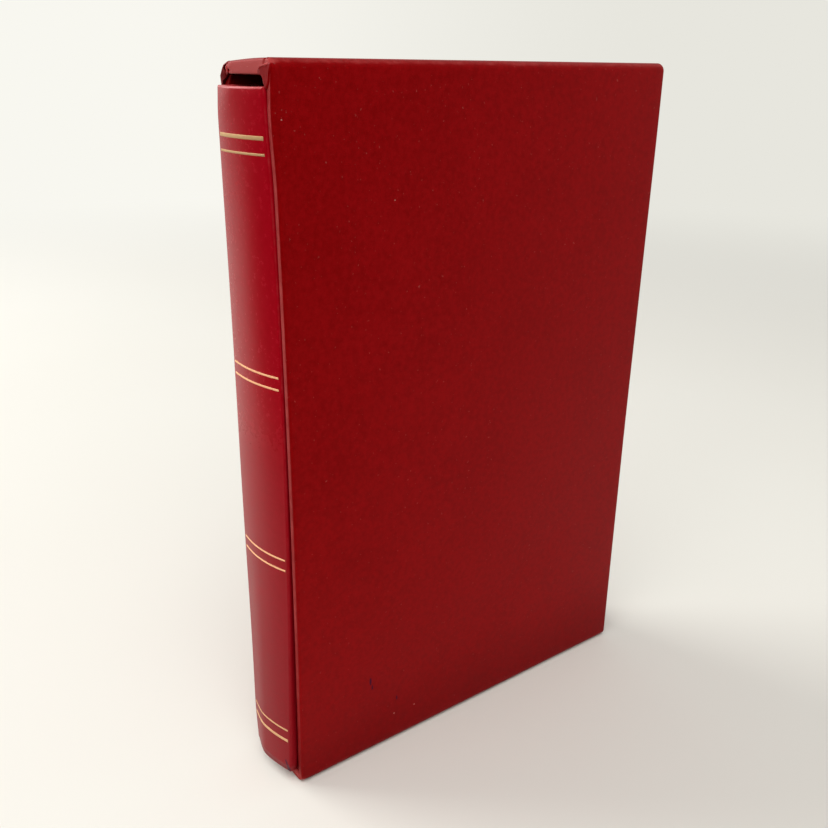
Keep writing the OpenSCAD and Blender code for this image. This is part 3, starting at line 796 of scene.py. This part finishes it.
def album_settled(x, y, z):
    """The album as it sits: swollen at mid-height, its spine prouder at the tail.

    Both sides spread by a parabola over the height that dies out towards the fore edge. The
    spine moves from the plain arc to a wider one, whose crown is a parabola over the height;
    its far side curls in towards the tail, and the covering's ends are slightly uneven."""
    tall = (z - CASE_H / 2) / 100.0
    share = np.clip(1.0 - (tall / 1.25) ** 2, 0.0, 1.0)
    near_side = 0.6 * bell((z - 200.0) / 45.0) - 0.35 * bell((z - 60.0) / 45.0) - 0.4 * share
    swell = (1.6 * share + near_side * smooth(x / 8.0)) * (
        np.clip(1.0 - (y - MOUTH_Y) / BOW_LENGTH, 0.0, 1.05))
    spread = x * (1.0 + swell / ALBUM_HALF)
    on_arc = np.clip(x, BEND_R - ALBUM_HALF, ALBUM_HALF - BEND_R)
    wide = on_arc * (1.0 + 1.5 * share / ALBUM_HALF)
    proud = 4.05 - 0.66 * tall + 0.98 * tall ** 2
    moved = (spine_arc(wide, proud, 50.3, -5.3)
             - spine_arc(on_arc, MOUTH_Y - CROWN_Y, SPINE_R, -CROWN_SHIFT))
    curled = 1.25 * smooth((130.0 - z) / 110.0) + 0.9 * bell((z - 4.0) / 12.0)
    moved = moved + (curled + 0.6 * bell((z - 253.0) / 6.0)) * smooth(-(x + 1.0) / 11.8)
    front = 1.0 - smooth((y - MOUTH_Y + 1.0) / 13.0)
    foot = (0.14 + 0.14 * ripple(11, x, y, wavelengths=(7.0, 18.0))) * (
        1.0 - smooth((z - ALBUM_Z0) / 5.0)) * front
    head = (0.1 + 0.1 * ripple(12, x, y, wavelengths=(9.0, 20.0))) * (
        1.0 - smooth((ALBUM_Z1 - z) / 5.0)) * front
    return np.stack([spread, y + moved * front, z + foot - head], axis=-1)


def half_section(shift):
    """Half of the album's outside from the middle of the spine to the fore edge.

    Arc of the spine, bend, hinge groove and cover; shift moves the arc's centre sideways.
    Gives x, y, the wall's thickness there, and how much of a bend it is."""
    centre_y = CROWN_Y + SPINE_R
    bend_x = ALBUM_HALF - BEND_R
    bend_y = centre_y - math.sqrt((SPINE_R - BEND_R) ** 2 - (bend_x - shift) ** 2)
    start = 2 * math.pi - math.acos(-shift / SPINE_R)
    stop = 2 * math.pi + math.atan2(bend_y - centre_y, bend_x - shift)
    arc = np.linspace(start, stop, 26)
    t = np.linspace(0.0, 1.0, 11)[1:]
    turn = stop + t * (2 * math.pi - stop)
    gap = np.linspace(bend_y, GROOVE_Y - GROOVE_W / 2, 5)[1:-1]
    groove_r = ((GROOVE_W / 2) ** 2 + GROOVE_DEPTH ** 2) / (2 * GROOVE_DEPTH)
    half_angle = math.asin(GROOVE_W / 2 / groove_r)
    groove = np.linspace(math.pi + half_angle, math.pi - half_angle, 18)
    board_y = GROOVE_Y + GROOVE_W / 2
    far = board_y + (FORE_Y - FORE_R - board_y) * np.linspace(0.0, 1.0, 40)[1:] ** 1.4
    return joined(
        (shift + SPINE_R * np.cos(arc), centre_y + SPINE_R * np.sin(arc), SPINE_T, 0.0),
        (bend_x + BEND_R * np.cos(turn), bend_y + BEND_R * np.sin(turn),
         SPINE_T / 2 * (2 - smooth(t * 2.5)), np.sin(math.pi * t)),
        (ALBUM_HALF, gap, HINGE_T, 0.0),
        (ALBUM_HALF - GROOVE_DEPTH + groove_r * (1 + np.cos(groove)),
         GROOVE_Y + groove_r * np.sin(groove), HINGE_T, 0.0),
        (ALBUM_HALF, far, HINGE_T + (COVER_T - HINGE_T) * smooth((far - board_y) / 1.2), 0.0))


def album_section():
    """The whole outside, from the back cover's fore edge round the spine to the front's.

    Gives x, y, the unit normals' x and y, the wall's thickness and the share of bend."""
    front, rear = half_section(-CROWN_SHIFT), half_section(CROWN_SHIFT)
    rear = rear[:, :0:-1] * np.array([[-1.0], [1.0], [1.0], [1.0]])
    x, y, thick, bend = np.concatenate([rear, front], axis=1)
    dx, dy = np.gradient(x), np.gradient(y)
    size = np.hypot(dx, dy)
    return x, y, dy / size, -dx / size, thick, bend


RISE_STEPS = 60


def wall_loop(thick, low, high):
    """The wall's own outline, once round: depth in from the outside, height, share of an edge.

    Up the outside, over the rounded head, down the inside and round the tail."""
    thick = thick[:, None]
    outer_r, inner_r = (np.minimum(radius, 0.45 * thick) for radius in (0.9, 0.4))
    rise = np.linspace(0.0, 1.0, RISE_STEPS)
    rise = rise * 0.6 + 0.4 * smooth(rise)
    turn = np.linspace(0.0, math.pi / 2, 6)[1:]
    early, late = 1 - np.cos(turn), 1 - np.sin(turn)
    depth, height = joined(
        (0.0, low + outer_r + (high - low - 2 * outer_r) * rise),
        (outer_r * early, high - outer_r * late),
        (thick - inner_r * late, high - inner_r * early),
        (thick, high - inner_r - (high - low - 2 * inner_r) * rise),
        (thick - inner_r * early, low + inner_r * late),
        (outer_r * late, low + outer_r * early))
    plain, hump = np.zeros(RISE_STEPS), np.sin(turn * 2)
    return depth, height, np.concatenate([plain, hump ** 0.5, hump, plain, hump, hump ** 0.5])


def album_cover():
    """The covering: the wall's outline carried along the section, with rounded fore edges.

    Its darkening share paints the front part darker towards the foot, and paints shade on the
    album's sides where they meet the case's mouth, in the lower part."""
    x, y, nx, ny, thick, bend = album_section()
    depth, height, edge = wall_loop(thick, ALBUM_Z0, ALBUM_Z1)
    px, py = x[:, None] - nx[:, None] * depth, y[:, None] - ny[:, None] * depth
    edge = np.maximum(edge, 0.35 * bend[:, None] * (depth < 0.2))
    middle, half_tall = 128.65, 123.5
    caps = []
    for end, step in ((0, -1), (-1, 1)):
        rows = []
        for a in np.linspace(0.0, math.pi / 2, 6)[1:]:
            inset = 0.8 * (1 - math.cos(a))
            d = inset + depth[end] * (1 - 2 * inset / COVER_T)
            h = middle + (height[end] - middle) * (1 - inset / half_tall)
            rows.append(np.stack(np.broadcast_arrays(
                x[end] - nx[end] * d, y[end] + FORE_R * math.sin(a), h, 0.9 * math.sin(2 * a)),
                axis=-1))
        caps.append(np.array(rows[::step]))
    body = np.stack([px, py, height, edge], axis=-1)
    surface = np.concatenate([caps[0], body, caps[1]], axis=0)
    x, y, z, edge = (surface[..., i] for i in range(4))
    # painted darkening: the front part darker towards the foot; painted shade on the sides at the
    # mouth below about 195 mm
    album_darkening = (0.14 * smooth((150.0 - z) / 24.0) + 0.3 * smooth((150.0 - z) / 140.0)) * (
        smooth(-(y + 70.0) / 8.0))
    album_darkening = np.maximum(album_darkening, 0.55 * smooth((195.0 - z) / 60.0) * smooth(
        (np.abs(x) - 12.35) / 0.4) * bell((y + 81.0) / 2.6))
    swept_piece("album_cover_skin", album_settled(x, y, z), "album", "album_leatherette",
                album_red, ("album_covering",), edge=edge, crease=album_darkening)


def spine_card():
    """The curved card behind the spine's covering: a thin upright outline carried along it."""
    x, y, nx, ny, _, bend = album_section()
    on_arc = (bend == 0) & (y < MOUTH_Y) & (np.abs(x) < ALBUM_HALF - 0.6)
    x, y, nx, ny = (v[on_arc, None] for v in (x, y, nx, ny))
    rise = np.linspace(ALBUM_Z0 + 0.6, ALBUM_Z1 - 0.6, 40)
    depth = np.repeat(CARD_DEPTHS, len(rise))
    points = album_settled(x - nx * depth, y - ny * depth, np.concatenate([rise, rise[::-1]]))
    swept_piece("spine_stiffener", points, "album", "greyboard", greyboard, ("spine_card",))


album_cover()
spine_card()


def gold_rule(height, width, seed):
    """One pressed rule: a flat ribbon with slightly wavering edges laid along the spine.

    Gives its closed outlines, row by row."""
    x, y, nx, ny = album_section()[:4]
    on_spine = (x > -RULE_FAR) & (x < RULE_HALF) & (y < MOUTH_Y)
    x, y, nx, ny = (v[on_spine, None] for v in (x, y, nx, ny))
    waver = 0.05 * ripple(seed, x * 3.0, wavelengths=(3.0, 14.0), count=7)
    across = np.array([-0.5, -0.5, -0.35, 0.35, 0.5, 0.5])
    lift = np.array([-0.12, 0.01, 0.045, 0.045, 0.01, -0.12])
    return album_settled(x + nx * lift, y + ny * lift,
                         height + across * width + np.sign(across) * waver)


def gold_rules():
    """All eight rules as one piece: four from the tail and the same four from the head.

    The outer two at either end are painted duller, the head's most; at the head this is painted
    shade that tones down the lamp's bright reflection."""
    rules = [(ALBUM_Z0 + z, w) for z, w in RULES] + [(ALBUM_Z1 - z, w) for z, w in RULES]
    ribbons = np.array([gold_rule(*rule, 30 + number) for number, rule in enumerate(rules)])
    count = ribbons[0].size // 3
    faces = [[i + first for i in face] for first in range(0, len(rules) * count, count)
             for face in capped_faces(*ribbons.shape[1:3])]
    # painted duller outer rules: 0.45 at the tail, 0.8 at the head, the head's as painted shade
    dull = np.repeat([0.45, 0.45, 0.0, 0.0, 0.8, 0.8, 0.0, 0.0], count)
    make_piece("spine_gold_rules", ribbons.reshape(-1, 3), faces, "album", "gilt_foil",
               gilt_foil, ("gold_rules",), dull=dull)


gold_rules()

# ---- materials of the pieces that stay as the frame has them ------------------

FINISHES = {"greyboard": greyboard, "case_leatherette": case_red, "album_leatherette": album_red,
            "lining_paper": lining_paper, "gilt_foil": gilt_foil, "endpaper": endpaper,
            "linen": linen, "glassine": glassine, "stock_card": stock_card,
            "clear_film": clear_film}
for entry in frame["record"]["subparts"]:
    mesh, material = frame["nodes"][entry["node"]].data, FINISHES[entry["material_slot"]]
    if len(mesh.materials) == 0:
        mesh.materials.append(material)
    for number in range(len(mesh.materials)):
        mesh.materials[number] = material

# ---- floor and light ---------------------------------------------------------


def pale_surroundings(lit):
    """1 for rays that the camera sees, straight or through gloss and glass, in lit's tree."""
    path = add(lit.id_data, "LightPath").outputs
    return maths("MAXIMUM", path["Is Camera Ray"],
                 maths("MAXIMUM", path["Is Glossy Ray"], path["Is Transmission Ray"]))


def horizon(direction):
    """The tone of the far surroundings: pale at the left, a little deeper at the right.

    The share is how far the direction leans along the level line (0.6, 0.8)."""
    lean = vectors("DOT_PRODUCT", direction, (0.6, 0.8, 0.0))["Value"]
    return blend_colour(ramp(lean, -0.3, 0.25), (0.94, 0.93, 0.87, 1), (0.80, 0.79, 0.73, 1))


def darkened(kind, share, lit):
    """lit, but dark where share is 1, to every ray except the camera's own."""
    unseen = maths("SUBTRACT", 1.0, add(lit.id_data, "LightPath").outputs["Is Camera Ray"])
    dark = add(lit.id_data, kind, {"Color": (0.06, 0.05, 0.045, 1)}).outputs[0]
    return step("MixShader", {0: maths("MULTIPLY", share, unseen), 1: lit, 2: dark})[0]


def add_floor():
    """A wide level floor that fades into the surroundings' colour with distance.

    So that only the spine's left part shines, it is dark, but not to the camera, where y is
    below x / 4 - 0.33 m and below x - 0.05 m or -1.8 m, with soft limits."""
    size = 30.0
    mesh = bpy.data.meshes.new("floor")
    mesh.from_pydata([(-size, -size, 0), (size, -size, 0), (size, size, 0), (-size, size, 0)],
                     [], [(0, 1, 2, 3)])
    floor = bpy.data.objects.new("floor", mesh)
    scene.collection.objects.link(floor)
    material, shader, position = new_material("pale_floor")
    cloudy = noise(position, 3.0)
    feed(shader.inputs, {
        "Base Color": blend_colour(cloudy, (0.82, 0.79, 0.71, 1), (0.85, 0.825, 0.75, 1)),
        "Roughness": 0.9, "Specular IOR Level": 0.1})
    far = vectors("LENGTH", position)["Value"]
    fade = maths("MULTIPLY", ramp(far, 0.5, 1.6), pale_surroundings(far))
    away = vectors("NORMALIZE", position)["Vector"]
    glow = step("Emission", {"Color": horizon(away)})[0]
    mixed = step("MixShader", {0: fade, 1: shader.outputs[0], 2: glow})[0]
    front, aside, distant = (
        ramp(vectors("DOT_PRODUCT", position, way)["Value"], dark, light, 1.0, 0.0)
        for way, dark, light in (((-0.25, 1.0, 0.0), -0.45, -0.21),
                                 ((-1.0, 1.0, 0.0), -0.2, 0.1), ((0.0, 1.0, 0.0), -2.2, -1.4)))
    beyond = maths("MULTIPLY", front, maths("MAXIMUM", aside, distant))
    feed(material.node_tree.nodes["Material Output"].inputs,
         {"Surface": darkened("Emission", beyond, mixed)})
    mesh.materials.append(material)


def add_world():
    """Even pale surroundings: a plain level of light, and a pale tone where they are seen.

    Low down and ahead of the spine they are dark, but not to the camera."""
    world = bpy.data.worlds.new("studio")
    scene.world = world
    world.use_nodes = True
    tree = world.node_tree
    plain = tree.nodes["Background"]
    feed(plain.inputs, {"Color": (0.95, 0.97, 1.0, 1.0), "Strength": 0.47})
    direction = add(tree, "TexCoord").outputs["Generated"]
    seen = step("Background", {"Color": horizon(direction)})[0]
    mixed = step("MixShader", {0: pale_surroundings(direction), 1: plain.outputs[0], 2: seen})[0]
    parts = step("SeparateXYZ", {0: direction})
    low = ramp(parts["Z"], 0.0, 0.2, 1.0, 0.0)
    ahead = ramp(parts["Y"], -0.65, -0.4, 1.0, 0.0)
    feed(tree.nodes["World Output"].inputs,
         {"Surface": darkened("Background", maths("MULTIPLY", low, ahead), mixed)})


def add_softbox(name, place, aim, size, power):
    """A soft white light at place, in metres, turned to face aim; size and power in m and W."""
    data = bpy.data.lights.new(name, "AREA")
    data.shape = "RECTANGLE"
    data.size, data.size_y = size
    data.energy = power
    lamp = bpy.data.objects.new(name, data)
    lamp.location = place
    lamp.rotation_euler = (Vector(aim) - Vector(place)).to_track_quat("-Z", "Y").to_euler()
    scene.collection.objects.link(lamp)


add_floor()
add_world()
add_softbox("window_left", (-1.4, -0.93, 1.1), (0.0, 0.0, 0.1), (1.2, 1.32), 24.0)
add_softbox("overhead", (0.7, -0.7, 1.8), (0.0, 0.0, 0.1), (1.5, 1.5), 19.0)
add_softbox("fill_right", (1.5, -0.6, 1.0), (0.0, 0.0, 0.13), (1.2, 1.2), 3.5)
